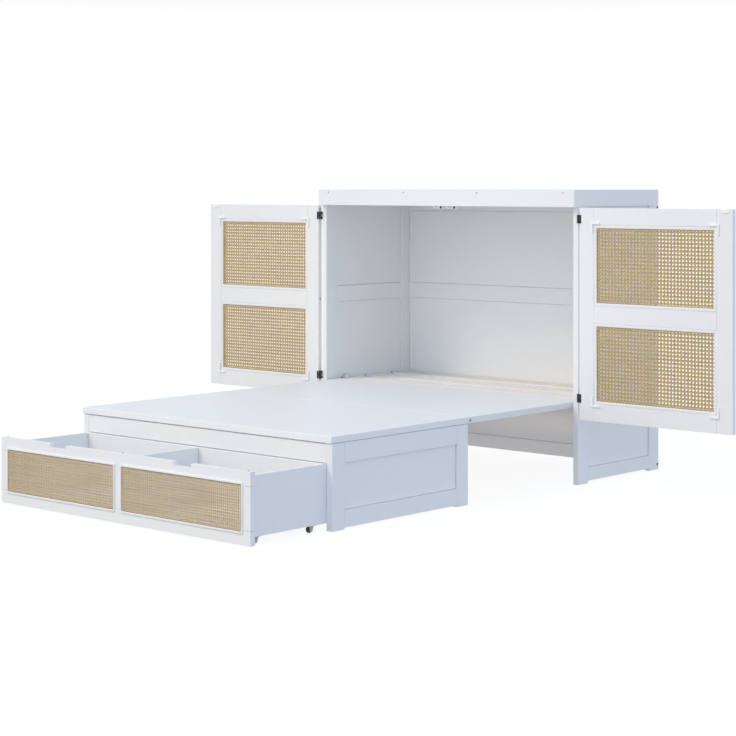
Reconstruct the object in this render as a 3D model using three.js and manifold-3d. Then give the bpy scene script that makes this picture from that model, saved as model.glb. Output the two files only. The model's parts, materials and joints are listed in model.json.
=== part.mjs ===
// Cabinet bed: a storage base with a rolling drawer, a folding two-part platform,
// and a cabinet with two cane doors that takes the platform when it stands folded.
import * as THREE from "three";
import { mergeVertices } from "three/addons/utils/BufferGeometryUtils.js";
import Module from "manifold-3d";

const wasm = await Module();
wasm.setup();

// Lengths are in millimetres. X runs across the bed, Y from its foot to the wall, Z up.
// Y is zero at the front edges of the cabinet sides until the finished group is moved.

// Fits and edges
const seat = 0.3; // between pieces that are screwed or glued to each other
const running = 0.5; // between pieces that move past each other
const overrun = 5; // how far each cut runs past the piece
const boardEase = 1.2; // chamfer on wooden edges
const metalEase = 0.4; // chamfer on metal edges
const panelEase = 0.6; // chamfer on thin panels
const tongue = 8; // how far a panel reaches into its groove

// Cabinet
const cabinetWidth = 1447;
const cabinetDepth = 600;
const cabinetHeight = 1220;
const sideThickness = 25;
const sideStile = 71;
const sideTopRail = 70;
const midRailHeight = 73;
const midRailShare = 0.5713; // the mid rail's lower edge, as a share of the cabinet's height
const sideBottomRailHigh = 66;
const cabinetFootHeight = 11;
const sidePanelThickness = 12;
const topThickness = 25;
const headerProjection = 27.5;
const headerHeight = 72;
const headerFlangeDepth = 90;
const headerFlangeThickness = 15;
const headerFlangeRise = 4; // the flange lies this far above the header's lower edge
const backThickness = 15;
const backRailLow = 9;
const backRailHigh = 69;
const backPanelSetback = 3; // the panel lies this far behind the front of the rails
const backPanelThickness = 6;
const backStile = 40;
const backPanelInset = 8; // from the side of the back to the side of its panel

// Slats and the cleats that carry them
const slatCount = 3;
const slatWidth = 115;
const slatFront = 110;
const slatRearGap = 1; // between the last slat and the back
const slatDrop = 1; // the slats lie this far below the platform's top
const slatThickness = 25;
const slatEase = 3;
const cleatThickness = 6.5;
const cleatHeight = 35;
const cleatSetback = 2; // from the ends of the row of slats to the cleat's ends
const pivotEarRadius = 18;

// Platform
const platformThickness = 26;
const platformTop = 341;
const platformSideGap = 10.5; // between the platform and the inside of the cabinet
const platformRearGap = 39; // between the platform's rear edge and its pivot
const foldedHeadGap = 9; // between the folded platform and the header
const foldedFootGap = 1.5; // how far the folded front panel stays above the platform's plane
const seamGap = 1;
const platformEase = 2;
const strapThickness = 3;
const strapLength = 177; // along the platform, from its rear edge
const strapHeight = 18;
const strapBossRadius = 12;
const pivotNotch = 24; // from the pivot to the end of the first slat's notch
const pivotPinRadius = 4;
const seamHingeInset = 88; // from the platform's side to the end of the long hinge
const seamKnuckleRadius = 2;
const seamKnuckleCount = 9;
const seamPinDrop = 0.2; // the seam's pin lies this far below the platform's underside
const seamPinRadius = 0.8;
const seamPinHold = 10; // how far the pin runs into the end knuckles
const seamLeafWidth = 22;
const seamLeafThickness = 1.2;

// Base
const baseSideInset = 2; // the platform reaches past the base by this much at each side
const baseFrontInset = 6.5; // and by this much at the foot
const baseRearInset = 17; // from the seam to the base's rear
const baseTopGap = 1; // between the platform and the boards of the base's sides
const baseSideThickness = 28;
const baseLeg = 65;
const baseFootHeight = 6.7;
const baseWindowLow = 70;
const baseTopRail = 72;
const baseRidgeWidth = 14;
const baseFrontRailHeight = 69.3;
const baseFrontRailThickness = 24;
const baseRearThickness = 18;
const bearerWidth = 40;
const bearerHeight = 44;

// Drawer
const drawerReveal = 3; // the front reaches past the base by this much at each side
const drawerRearGap = 1; // between the drawer, pulled out, and the base
const drawerLength = 412;
const drawerFrontThickness = 22.5;
const drawerFrontLow = 6.5;
const drawerFrontLap = 17; // the front reaches this far above the lower edge of the base's rail
const drawerStile = 48;
const drawerRail = 50;
const drawerCentreStile = 52;
const mouldingOverlap = 12; // how far the moulding covers the frame round each window
const mouldingHeight = 6.4;
const mouldingCrest = 1.2;
const gripWidth = 92;
const gripDepth = 16;
const gripCorner = 5;
const boxSideGap = 1; // between the drawer's sides and those of the base
const boxTopGap = 1.5; // between the drawer's sides and the base's rail
const boxWall = 15;
const boxLow = 28;
const boxFloorThickness = 8;

// Casters under the drawer
const wheelRadius = 12.5;
const wheelWidth = 12;
const wheelEdge = 2;
const wheelHubRadius = 6;
const wheelHubRecess = 1.5;
const axleRadius = 2.5;
const casterCheek = 2;
const casterPlateThickness = 3;
const casterPlateLength = 44;
const casterPlateMargin = 9; // how far the plate reaches past the cheeks
const casterCheekLength = 18;
const casterSideInset = 22; // from the drawer's side to the middle of a wheel
const casterFrontInset = 69; // from the drawer's face to its front wheels
const casterRearInset = 66; // from the drawer's rear to its rear wheels

// Doors, stored open and flat beside the cabinet
const doorWidth = 722.5;
const doorThickness = 22;
const doorLow = 272;
const doorHeadGap = 2; // between a door and the header
const doorStile = 71;
const doorRail = 70;
const doorBayCount = 2;
const doorInnerFace = -12;
const doorPivotOffset = 7.5; // from the cabinet's side to the hinges' pins
const doorPivotY = -8;
const beadWidth = 13;
const beadStep = 1.6; // the bead's seat lies this far below the face of the door
const caneThickness = 3;
const caneSetback = 5; // from the door's inner face to the cane
const netColumns = 12;
const netRows = 6;
const netStrand = 11;
const strikeWidth = 38;
const strikeHeight = 13;
const strikeThickness = 2;
const strikeFromEdge = 33;
const strikeFromTop = 9;

// Door hinges
const hingeFromTop = 46.5;
const hingeFromBottom = 89;
const hingeHeight = 35;
const knuckleRadius = 7;
const hingePinRadius = 3;
const hingeLeafThickness = 1.6;
const hingeLeafDepth = 28;
const hingeWrapWidth = 9;
const hingePinHold = 0.8; // how far the pin runs into each knuckle

// Push latches under the header
const latchCentreX = 38;
const latchLength = 50;
const latchWidth = 18;
const latchHeight = 12;
const latchCorner = 3;
const plungerRadius = 4;
const plungerReach = 13;
const plungerTail = 25;
const plungerTravel = 10;

// Facets of round pieces, and steps in half a quarter turn of an outline's corner
const wheelFacets = 20;
const rodFacets = 16;
const fineFacets = 10;
const cornerSteps = 2;
const earSteps = 8;
const weldDistance = 0.0001; // points nearer than this are one point

// Places in the cabinet
const cabinetHalf = cabinetWidth / 2;
const innerHalf = cabinetHalf - sideThickness;
const backFace = cabinetDepth - backThickness;
const headerLow = cabinetHeight - headerHeight;
const topRailLow = cabinetHeight - sideTopRail;
const midRailLow = cabinetHeight * midRailShare;
const midRailHigh = midRailLow + midRailHeight;
const slatTop = platformTop - slatDrop;
const slatRear = backFace - slatRearGap;
const slatPitch = (slatRear - slatWidth - slatFront) / (slatCount - 1);
const cleatFront = slatFront + cleatSetback;
const cleatRear = slatRear - cleatSetback;
const cleatOuter = innerHalf - seat;
const cleatInner = cleatOuter - cleatThickness;

// Places on the platform. Folded, its boards stand face to face before the slats.
const pivotY = slatFront + platformThickness;
const foldReach = headerLow - foldedHeadGap - platformTop;
const platformHalfWidth = innerHalf - platformSideGap;
const platformRear = pivotY - platformRearGap;
const platformSeam = pivotY - foldReach;
const platformFront = platformSeam - foldReach + foldedFootGap;
const platformUnder = platformTop - platformThickness;
const slatNotchRear = pivotY + pivotNotch;
const strapInner = platformHalfWidth + seat;
const strapOuter = strapInner + strapThickness;
const strapFront = platformRear - strapLength;
const seamPinZ = platformUnder - seamPinDrop;
const seamHingeHalfLength = platformHalfWidth - seamHingeInset;

// Places on the base and the drawer
const baseHalfWidth = platformHalfWidth - baseSideInset;
const baseInner = baseHalfWidth - baseSideThickness;
const baseFront = platformFront + baseFrontInset;
const baseRear = platformSeam - baseRearInset;
const baseTop = platformUnder - baseTopGap;
const baseWindowHigh = baseTop - baseTopRail;
const baseInsideTop = seamPinZ - seamKnuckleRadius - running; // passes under the seam's hinge
const baseFrontRailLow = baseInsideTop - baseFrontRailHeight;
const boxRear = baseFront - drawerRearGap;
const boxHalfWidth = baseInner - boxSideGap;
const boxInner = boxHalfWidth - boxWall;
const boxHigh = baseFrontRailLow - boxTopGap;
const drawerFrontHalfWidth = baseHalfWidth + drawerReveal;
const drawerFrontPlane = boxRear - drawerLength;
const drawerFrontRear = drawerFrontPlane + drawerFrontThickness;
const drawerFrontHigh = baseFrontRailLow + drawerFrontLap;
const gripCentre = drawerFrontHalfWidth / 2;
const axleHeight = wheelRadius;
const casterCentreX = boxHalfWidth - casterSideInset;
const casterFrontY = drawerFrontPlane + casterFrontInset;
const casterRearY = boxRear - casterRearInset;

// Places on the doors
const doorPivotX = cabinetHalf + doorPivotOffset;
const doorHingeEdge = doorPivotX + doorPivotOffset;
const doorFreeEdge = doorHingeEdge + doorWidth;
const doorOuterFace = doorInnerFace + doorThickness;
const doorHigh = headerLow - doorHeadGap;
const caneFace = doorInnerFace + caneSetback;
const doorRails = doorBayCount + 1;
const openingHeight = (doorHigh - doorLow - doorRails * doorRail) / doorBayCount;
const hingeCentres = { lower: doorLow + hingeFromBottom, upper: doorHigh - hingeFromTop };

const sides = { left: -1, right: 1 };
const paint = { color: 0xe6e8ea, roughness: 0.5, metalness: 0 };
const paleWood = { color: 0xe4dccb, roughness: 0.7, metalness: 0 };
const cane = { color: 0xc8b184, roughness: 0.8, metalness: 0 };
const blackMetal = { color: 0x1d1d1f, roughness: 0.5, metalness: 0.6 };
const steel = { color: 0xb9bcc0, roughness: 0.35, metalness: 0.9 };
const whitePlastic = { color: 0xf1f1ef, roughness: 0.4, metalness: 0 };
const greyPlastic = { color: 0x5d6064, roughness: 0.6, metalness: 0 };

const group = new THREE.Group();
group.name = "storage_bed";

// Shapes

function outline(points) {
  return new THREE.Shape(points.map(([a, b]) => new THREE.Vector2(a, b)));
}

function rectanglePoints(a0, a1, b0, b1) {
  return [[a0, b0], [a1, b0], [a1, b1], [a0, b1]];
}

function rectangle(a0, a1, b0, b1) {
  return outline(rectanglePoints(a0, a1, b0, b1));
}

function addWindow(shape, a0, a1, b0, b1) {
  const points = rectanglePoints(a0, a1, b0, b1);
  shape.holes.push(new THREE.Path(points.map(([a, b]) => new THREE.Vector2(a, b))));
  return shape;
}

function roundedRectangle(a0, a1, b0, b1, corner) {
  const shape = new THREE.Shape();
  const turn = Math.PI / 2;
  shape.absarc(a1 - corner, b0 + corner, corner, -turn, 0, false);
  shape.absarc(a1 - corner, b1 - corner, corner, 0, turn, false);
  shape.absarc(a0 + corner, b1 - corner, corner, turn, 2 * turn, false);
  shape.absarc(a0 + corner, b0 + corner, corner, 2 * turn, 3 * turn, false);
  shape.closePath();
  return shape;
}

// A board with its outline in one plane and its thickness along the named axis.
function board(shape, axis, first, second, ease = boardEase, curveSegments = cornerSteps) {
  const from = Math.min(first, second);
  const to = Math.max(first, second);
  const settings = { depth: to - from - 2 * ease, steps: 1, curveSegments };
  settings.bevelEnabled = ease > 0;
  settings.bevelSegments = 1;
  settings.bevelSize = ease;
  settings.bevelThickness = ease;
  settings.bevelOffset = -ease;
  const geometry = new THREE.ExtrudeGeometry(shape, settings);
  geometry.translate(0, 0, ease);
  const x = new THREE.Vector3(1, 0, 0);
  const y = new THREE.Vector3(0, 1, 0);
  const z = new THREE.Vector3(0, 0, 1);
  const turn = new THREE.Matrix4();
  if (axis === "x") turn.makeBasis(y, z, x).setPosition(from, 0, 0);
  if (axis === "y") turn.makeBasis(x, z, y.negate()).setPosition(0, to, 0);
  if (axis === "z") turn.setPosition(0, 0, from);
  return geometry.applyMatrix4(turn);
}

// A box-shaped cutter, always plain.
function block(x0, x1, y0, y1, z0, z1) {
  return board(rectangle(Math.min(x0, x1), Math.max(x0, x1), y0, y1), "z", z0, z1, 0);
}

// A body of revolution along X. The profile holds pairs of radius and position.
function turned(profile, x, y, z, facets = wheelFacets) {
  const points = profile.map(([radius, along]) => new THREE.Vector2(radius, along));
  const geometry = new THREE.LatheGeometry(points, facets);
  geometry.rotateZ(-Math.PI / 2);
  return geometry.translate(x, y, z);
}

function rodProfile(radius, from, to, ease) {
  return [[0, from], [radius - ease, from], [radius, from + ease],
    [radius, to - ease], [radius - ease, to], [0, to]];
}

function rodAlong(axis, radius, from, to, a, b, ease, facets = rodFacets) {
  const geometry = turned(rodProfile(radius, from, to, ease), 0, 0, 0, facets);
  if (axis === "x") return geometry.translate(0, a, b);
  if (axis === "y") return geometry.rotateZ(Math.PI / 2).translate(a, 0, b);
  return geometry.rotateY(-Math.PI / 2).translate(a, b, 0);
}

// Booleans

function solid(geometry) {
  const plain = new THREE.BufferGeometry();
  const source = geometry.index ? geometry.toNonIndexed() : geometry;
  plain.setAttribute("position", source.getAttribute("position"));
  const merged = mergeVertices(plain, weldDistance);
  const mesh = new wasm.Mesh({
    numProp: 3,
    vertProperties: merged.attributes.position.array,
    triVerts: new Uint32Array(merged.index.array),
  });
  return new wasm.Manifold(mesh);
}

function join(...geometries) {
  return geometries.map(solid).reduce((whole, piece) => whole.add(piece));
}

function cut(whole, ...cutters) {
  const start = whole.isBufferGeometry ? solid(whole) : whole;
  return cutters.map(solid).reduce((rest, cutter) => rest.subtract(cutter), start);
}

function geometryOf(shape) {
  if (shape.isBufferGeometry) return shape;
  const mesh = shape.getMesh();
  const geometry = new THREE.BufferGeometry();
  const count = mesh.numProp;
  const positions = new Float32Array(mesh.numVert * 3);
  for (let i = 0; i < mesh.numVert; i += 1) {
    positions.set(mesh.vertProperties.subarray(i * count, i * count + 3), i * 3);
  }
  geometry.setAttribute("position", new THREE.BufferAttribute(positions, 3));
  geometry.setIndex(new THREE.BufferAttribute(mesh.triVerts, 1));
  return geometry;
}

function add(name, shape, look) {
  const geometry = geometryOf(shape);
  geometry.computeVertexNormals();
  const mesh = new THREE.Mesh(geometry, new THREE.MeshStandardMaterial(look));
  mesh.name = name;
  group.add(mesh);
}

// Cabinet pieces

function footedOutline(front, rear, footHeight, leg, top) {
  return outline([[front, 0], [front + leg, 0], [front + leg, footHeight],
    [rear - leg, footHeight], [rear - leg, 0], [rear, 0], [rear, top], [front, top]]);
}

function buildCabinetSide(name, sign) {
  const windowFront = sideStile;
  const windowRear = cabinetDepth - sideStile;
  const shape = footedOutline(0, cabinetDepth, cabinetFootHeight, sideStile, cabinetHeight);
  addWindow(shape, windowFront, windowRear, sideBottomRailHigh, midRailLow);
  addWindow(shape, windowFront, windowRear, midRailHigh, topRailLow);
  const frame = board(shape, "x", sign * innerHalf, sign * cabinetHalf);
  const middle = (innerHalf + cabinetHalf) / 2;
  const panelIn = middle - sidePanelThickness / 2;
  const panelOut = middle + sidePanelThickness / 2;
  const pocket = block(sign * (panelIn - seat), sign * (panelOut + seat),
    windowFront - tongue - seat, windowRear + tongue + seat,
    sideBottomRailHigh - tongue - seat, topRailLow + tongue + seat);
  add(`cabinet_side_frame_${name}`, cut(frame, pocket), paint);
  const panel = rectangle(windowFront - tongue, windowRear + tongue,
    sideBottomRailHigh - tongue, topRailLow + tongue);
  add(`cabinet_side_panel_${name}`, board(panel, "x", sign * panelIn, sign * panelOut), paint);
}

function buildCabinetTop() {
  const half = innerHalf - seat;
  const shape = rectangle(-half, half, 0, cabinetDepth);
  add("cabinet_top", board(shape, "z", cabinetHeight - topThickness, cabinetHeight), paint);
}

function buildHeader() {
  const front = board(rectangle(-cabinetHalf, cabinetHalf, headerLow, cabinetHeight),
    "y", -headerProjection, -seat);
  const flangeLow = headerLow + headerFlangeRise;
  const half = innerHalf - seat;
  const flange = board(rectangle(-half, half, -headerProjection / 2, headerFlangeDepth),
    "z", flangeLow, flangeLow + headerFlangeThickness);
  add("cabinet_header_rail", join(front, flange), paint);
}

function buildBack() {
  const half = innerHalf - seat;
  const top = cabinetHeight - topThickness - seat;
  const shape = rectangle(-half, half, backRailLow, top);
  addWindow(shape, backStile - half, half - backStile, backRailHigh, midRailLow);
  addWindow(shape, backStile - half, half - backStile, midRailHigh, topRailLow);
  const frame = board(shape, "y", backFace, cabinetDepth);
  const panelFront = backFace + backPanelSetback;
  const panelRear = panelFront + backPanelThickness;
  const panelHalf = half - backPanelInset;
  const pocket = block(-panelHalf - seat, panelHalf + seat, panelFront - seat, panelRear + seat,
    backRailHigh - tongue - seat, topRailLow + tongue + seat);
  const bays = [[backRailHigh, midRailLow], [midRailHigh, topRailLow]];
  const clearings = bays.map(([low, high]) =>
    block(-half - overrun, half + overrun, backFace - overrun, panelFront - seat, low, high));
  add("cabinet_back_frame", cut(frame, pocket, ...clearings), paint);
  const panel = rectangle(-panelHalf, panelHalf, backRailHigh - tongue, topRailLow + tongue);
  add("cabinet_back_panel", board(panel, "y", panelFront, panelRear, panelEase), paint);
}

function cleatOutline() {
  const top = slatTop - slatThickness - seat;
  const low = top - cleatHeight;
  const shape = new THREE.Shape();
  shape.moveTo(cleatFront, low);
  shape.lineTo(cleatRear, low);
  shape.lineTo(cleatRear, top);
  shape.lineTo(pivotY + pivotEarRadius, top);
  shape.absarc(pivotY, platformTop, pivotEarRadius, 0, Math.PI, false);
  shape.lineTo(pivotY - pivotEarRadius, top - cleatHeight / 2);
  shape.lineTo(cleatFront, top - cleatHeight / 2);
  shape.closePath();
  const hole = new THREE.Path();
  hole.absarc(pivotY, platformTop, pivotPinRadius + seat, 0, 2 * Math.PI, true);
  shape.holes.push(hole);
  return shape;
}

function buildCleats() {
  for (const [name, sign] of Object.entries(sides)) {
    const body = board(cleatOutline(), "x", sign * cleatInner, sign * cleatOuter, metalEase,
      earSteps);
    add(`slat_cleat_${name}`, body, paleWood);
  }
}

function buildSlats() {
  const half = cleatOuter;
  for (let i = 0; i < slatCount; i += 1) {
    const front = slatFront + i * slatPitch;
    const rear = front + slatWidth;
    const shape = rectangle(-half, half, front, rear);
    const slat = board(shape, "z", slatTop - slatThickness, slatTop, slatEase);
    const notches = Object.values(sides).map((sign) =>
      block(sign * (platformHalfWidth - running), sign * (half + overrun), slatFront - overrun,
        slatNotchRear, slatTop - slatThickness - overrun, slatTop + overrun));
    add(`slat_${i + 1}`, i === 0 ? cut(slat, ...notches) : slat, paleWood);
  }
}

// Push latches

function buildLatches() {
  const high = headerLow + headerFlangeRise - seat;
  const low = headerLow - latchHeight;
  const axis = headerLow - latchHeight / 2;
  for (const [name, sign] of Object.entries(sides)) {
    const x = sign * latchCentreX;
    const shape = roundedRectangle(x - latchWidth / 2, x + latchWidth / 2, low, high, latchCorner);
    const body = board(shape, "y", 0, latchLength, metalEase);
    const bore = rodAlong("y", plungerRadius + seat, -overrun,
      plungerTail + plungerTravel + running, x, axis, 0);
    add(`latch_body_${name}`, cut(body, bore), whitePlastic);
    const plunger = rodAlong("y", plungerRadius, -plungerReach, plungerTail, x, axis, metalEase);
    add(`latch_plunger_${name}`, plunger, whitePlastic);
  }
}

// Platform pieces

function seamMortise(sign) {
  const plateEdge = platformSeam + sign * (seamLeafWidth + seat);
  const knuckleEdge = platformSeam + sign * (seamKnuckleRadius + running);
  const half = seamHingeHalfLength + seat;
  const plate = block(-half, half, Math.min(plateEdge, platformSeam),
    Math.max(plateEdge, platformSeam), platformUnder - overrun,
    platformUnder + seamLeafThickness + seat);
  const knuckle = block(-half, half, Math.min(knuckleEdge, platformSeam),
    Math.max(knuckleEdge, platformSeam), platformUnder - overrun,
    platformUnder + seamKnuckleRadius + running);
  return [plate, knuckle];
}

function buildPlatformPanels() {
  const middle = rectangle(-platformHalfWidth, platformHalfWidth,
    platformSeam + seamGap / 2, platformRear);
  const front = rectangle(-platformHalfWidth, platformHalfWidth,
    platformFront, platformSeam - seamGap / 2);
  const rearPanel = board(middle, "z", platformUnder, platformTop, platformEase);
  const frontPanel = board(front, "z", platformUnder, platformTop, platformEase);
  add("platform_middle_panel", cut(rearPanel, ...seamMortise(1)), paint);
  add("platform_front_panel", cut(frontPanel, ...seamMortise(-1)), paint);
}

function seamKnuckleSpan(index) {
  const pitch = 2 * seamHingeHalfLength / seamKnuckleCount;
  const from = index * pitch - seamHingeHalfLength;
  return [from, from + pitch];
}

function seamKnuckle(index) {
  const [from, to] = seamKnuckleSpan(index);
  return rodAlong("x", seamKnuckleRadius, from + seat / 2, to - seat / 2,
    platformSeam, seamPinZ, 0, fineFacets);
}

// The room that one leaf leaves for a knuckle of the other.
function seamClearing(index) {
  const [from, to] = seamKnuckleSpan(index);
  const reach = seamKnuckleRadius + running;
  return block(from - seat / 2, to + seat / 2, platformSeam - reach,
    platformSeam + reach, seamPinZ - reach, seamPinZ + reach);
}

// The leaf that owns the even knuckles holds the pin, the other one turns on it.
function buildSeamLeaf(name, sign, holdsPin) {
  const far = platformSeam + sign * seamLeafWidth;
  const plate = block(-seamHingeHalfLength, seamHingeHalfLength, Math.min(far, platformSeam),
    Math.max(far, platformSeam), platformUnder, platformUnder + seamLeafThickness);
  const indexes = Array.from({ length: seamKnuckleCount }, (_, i) => i);
  const isOwn = (i) => (i % 2 === 0) === holdsPin;
  const others = indexes.filter((i) => !isOwn(i));
  const knuckles = indexes.filter(isOwn).map(seamKnuckle);
  let leaf = cut(plate, ...others.map(seamClearing)).add(join(...knuckles));
  const last = seamKnuckleCount - 1;
  if (holdsPin) {
    const pin = rodAlong("x", seamPinRadius, seamKnuckleSpan(0)[1] - seamPinHold,
      seamKnuckleSpan(last)[0] + seamPinHold, platformSeam, seamPinZ, 0, fineFacets);
    leaf = leaf.add(solid(pin));
  } else {
    const bore = rodAlong("x", seamPinRadius + seat, -seamHingeHalfLength, seamHingeHalfLength,
      platformSeam, seamPinZ, 0, fineFacets);
    leaf = leaf.subtract(solid(bore));
  }
  add(`seam_hinge_leaf_${name}`, leaf, steel);
}

function buildStraps() {
  const middle = platformUnder + platformThickness / 2;
  const low = middle - strapHeight / 2;
  const high = middle + strapHeight / 2;
  const arm = outline([[strapFront, low], [platformRear, low],
    [pivotY + strapBossRadius / 2, platformTop - strapBossRadius / 2],
    [pivotY, platformTop + strapBossRadius / 2], [platformRear, high], [strapFront, high]]);
  for (const [name, sign] of Object.entries(sides)) {
    const plate = board(arm, "x", sign * strapInner, sign * strapOuter, metalEase);
    const ends = [sign * strapInner, sign * strapOuter];
    const boss = rodAlong("x", strapBossRadius, Math.min(...ends), Math.max(...ends),
      pivotY, platformTop, metalEase);
    const reach = [sign * (strapInner + strapThickness / 2), sign * cleatOuter];
    const pin = rodAlong("x", pivotPinRadius, Math.min(...reach), Math.max(...reach),
      pivotY, platformTop, metalEase);
    add(`platform_pivot_strap_${name}`, join(plate, boss, pin), steel);
  }
}

// Base pieces

function buildBaseSide(name, sign) {
  const windowFront = baseFront + baseLeg;
  const windowRear = baseRear - baseLeg;
  const shape = footedOutline(baseFront, baseRear, baseFootHeight, baseLeg, baseTop);
  addWindow(shape, windowFront, windowRear, baseWindowLow, baseWindowHigh);
  const frame = board(shape, "x", sign * baseInner, sign * baseHalfWidth);
  const middle = (baseInner + baseHalfWidth) / 2;
  const panelIn = middle - sidePanelThickness / 2;
  const panelOut = middle + sidePanelThickness / 2;
  const pocket = block(sign * (panelIn - seat), sign * (panelOut + seat),
    windowFront - tongue - seat, windowRear + tongue + seat,
    baseWindowLow - tongue - seat, baseWindowHigh + tongue + seat);
  const ridgeTop = platformUnder - seat;
  const ridge = board(rectangle(middle - baseRidgeWidth / 2, middle + baseRidgeWidth / 2,
    baseFront + baseLeg / 2, baseRear - baseLeg / 2), "z", baseTop - overrun, ridgeTop, metalEase);
  if (sign < 0) ridge.rotateZ(Math.PI).translate(0, baseFront + baseRear, 0);
  add(`base_side_frame_${name}`, cut(join(frame, ridge), pocket), paint);
  const panel = rectangle(windowFront - tongue, windowRear + tongue,
    baseWindowLow - tongue, baseWindowHigh + tongue);
  add(`base_side_panel_${name}`, board(panel, "x", sign * panelIn, sign * panelOut), paint);
}

function buildBaseInside() {
  const half = baseInner - seat;
  const rail = rectangle(-half, half, baseFrontRailLow, baseInsideTop);
  const railRear = baseFront + baseFrontRailThickness;
  add("base_front_rail", board(rail, "y", baseFront, railRear), paint);
  const rear = rectangle(-half, half, baseFootHeight, baseInsideTop);
  const rearFront = baseRear - baseRearThickness;
  add("base_rear_board", board(rear, "y", rearFront, baseRear), paint);
  const bearer = rectangle(-bearerWidth / 2, bearerWidth / 2, railRear + seat, rearFront - seat);
  const bearerLow = baseInsideTop - bearerHeight;
  add("base_centre_bearer", board(bearer, "z", bearerLow, baseInsideTop), paleWood);
}

// Drawer pieces

// The raised border of one cane panel: a block with sloping sides, standing on the front.
function mouldingBlock(w) {
  const root = mouldingHeight;
  const shape = rectangle(w.from - mouldingOverlap, w.to + mouldingOverlap,
    w.low - mouldingOverlap, w.high + mouldingOverlap);
  const settings = { depth: root, steps: 1, bevelEnabled: true, bevelSegments: 1 };
  settings.bevelSize = mouldingHeight - mouldingCrest;
  settings.bevelThickness = mouldingHeight;
  settings.bevelOffset = -settings.bevelSize;
  const raised = new THREE.ExtrudeGeometry(shape, settings);
  raised.rotateX(Math.PI / 2).translate(0, drawerFrontPlane + root, 0);
  const reach = mouldingOverlap + overrun;
  const rear = drawerFrontPlane + root + mouldingHeight + overrun;
  return cut(raised, block(w.from - reach, w.to + reach, drawerFrontPlane + root / 2, rear,
    w.low - reach, w.high + reach));
}

function drawerWindows() {
  const low = drawerFrontLow + drawerRail;
  const high = drawerFrontHigh - drawerRail;
  const inner = drawerCentreStile / 2;
  const outer = drawerFrontHalfWidth - drawerStile;
  return {
    left: { from: -outer, to: -inner, low, high },
    right: { from: inner, to: outer, low, high },
  };
}

function drawerFrontOutline() {
  const half = drawerFrontHalfWidth;
  const bottom = drawerFrontHigh - gripDepth;
  const shape = new THREE.Shape();
  shape.moveTo(-half, drawerFrontLow);
  shape.lineTo(half, drawerFrontLow);
  shape.lineTo(half, drawerFrontHigh);
  for (const sign of [1, -1]) {
    const centre = sign * gripCentre;
    const right = centre + gripWidth / 2;
    const left = centre - gripWidth / 2;
    shape.lineTo(right, drawerFrontHigh);
    shape.absarc(right - gripCorner, bottom + gripCorner, gripCorner, 0, -Math.PI / 2, true);
    shape.absarc(left + gripCorner, bottom + gripCorner, gripCorner, -Math.PI / 2, -Math.PI, true);
    shape.lineTo(left, drawerFrontHigh);
  }
  shape.lineTo(-half, drawerFrontHigh);
  shape.closePath();
  return shape;
}

function buildDrawerFront() {
  const windows = drawerWindows();
  let frame = solid(board(drawerFrontOutline(), "y", drawerFrontPlane, drawerFrontRear));
  const inset = mouldingOverlap - mouldingHeight;
  for (const w of Object.values(windows)) {
    frame = frame.add(mouldingBlock(w));
    const recess = block(w.from - inset, w.to + inset,
      drawerFrontPlane - mouldingHeight - overrun, drawerFrontPlane, w.low - inset, w.high + inset);
    const through = block(w.from, w.to, drawerFrontPlane - overrun,
      drawerFrontRear + overrun, w.low, w.high);
    frame = cut(frame, recess, through);
  }
  add("drawer_front_frame", frame, paint);
  for (const [name, w] of Object.entries(windows)) {
    const reach = inset - seat;
    const panel = rectangle(w.from - reach, w.to + reach, w.low - reach, w.high + reach);
    const face = drawerFrontPlane - mouldingHeight + mouldingCrest;
    add(`drawer_cane_panel_${name}`,
      board(panel, "y", face, drawerFrontPlane - seat, metalEase), cane);
  }
}

function buildDrawerBox() {
  const front = drawerFrontRear + seat;
  for (const [name, sign] of Object.entries(sides)) {
    const shape = rectangle(front, boxRear, boxLow, boxHigh);
    const wall = board(shape, "x", sign * boxInner, sign * boxHalfWidth);
    add(`drawer_side_${name}`, wall, paint);
  }
  const half = boxInner - seat;
  const backFront = boxRear - boxWall;
  const back = rectangle(-half, half, boxLow, boxHigh);
  add("drawer_back", board(back, "y", backFront, boxRear), paint);
  const floorShape = rectangle(-half, half, front, backFront - seat);
  add("drawer_bottom", board(floorShape, "z", boxLow, boxLow + boxFloorThickness), paint);
  const divider = rectangle(front, backFront - seat, boxLow + boxFloorThickness + seat, boxHigh);
  add("drawer_divider", board(divider, "x", -boxWall / 2, boxWall / 2), paint);
}

function wheelProfile() {
  const half = wheelWidth / 2;
  const bore = axleRadius + seat;
  return [[bore, -half + wheelHubRecess], [wheelHubRadius, -half + wheelHubRecess],
    [wheelHubRadius + wheelHubRecess, -half], [wheelRadius - wheelEdge, -half],
    [wheelRadius, -half + wheelEdge], [wheelRadius, half - wheelEdge],
    [wheelRadius - wheelEdge, half], [wheelHubRadius + wheelHubRecess, half],
    [wheelHubRadius, half - wheelHubRecess], [bore, half - wheelHubRecess],
    [bore, -half + wheelHubRecess]];
}

function cheekOutline(y, top) {
  const shape = new THREE.Shape();
  const half = casterCheekLength / 2;
  const radius = axleRadius + casterPlateThickness;
  shape.moveTo(y - half, top);
  shape.absarc(y, axleHeight, radius, Math.PI, 2 * Math.PI, false);
  shape.lineTo(y + half, top);
  shape.closePath();
  return shape;
}

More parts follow.
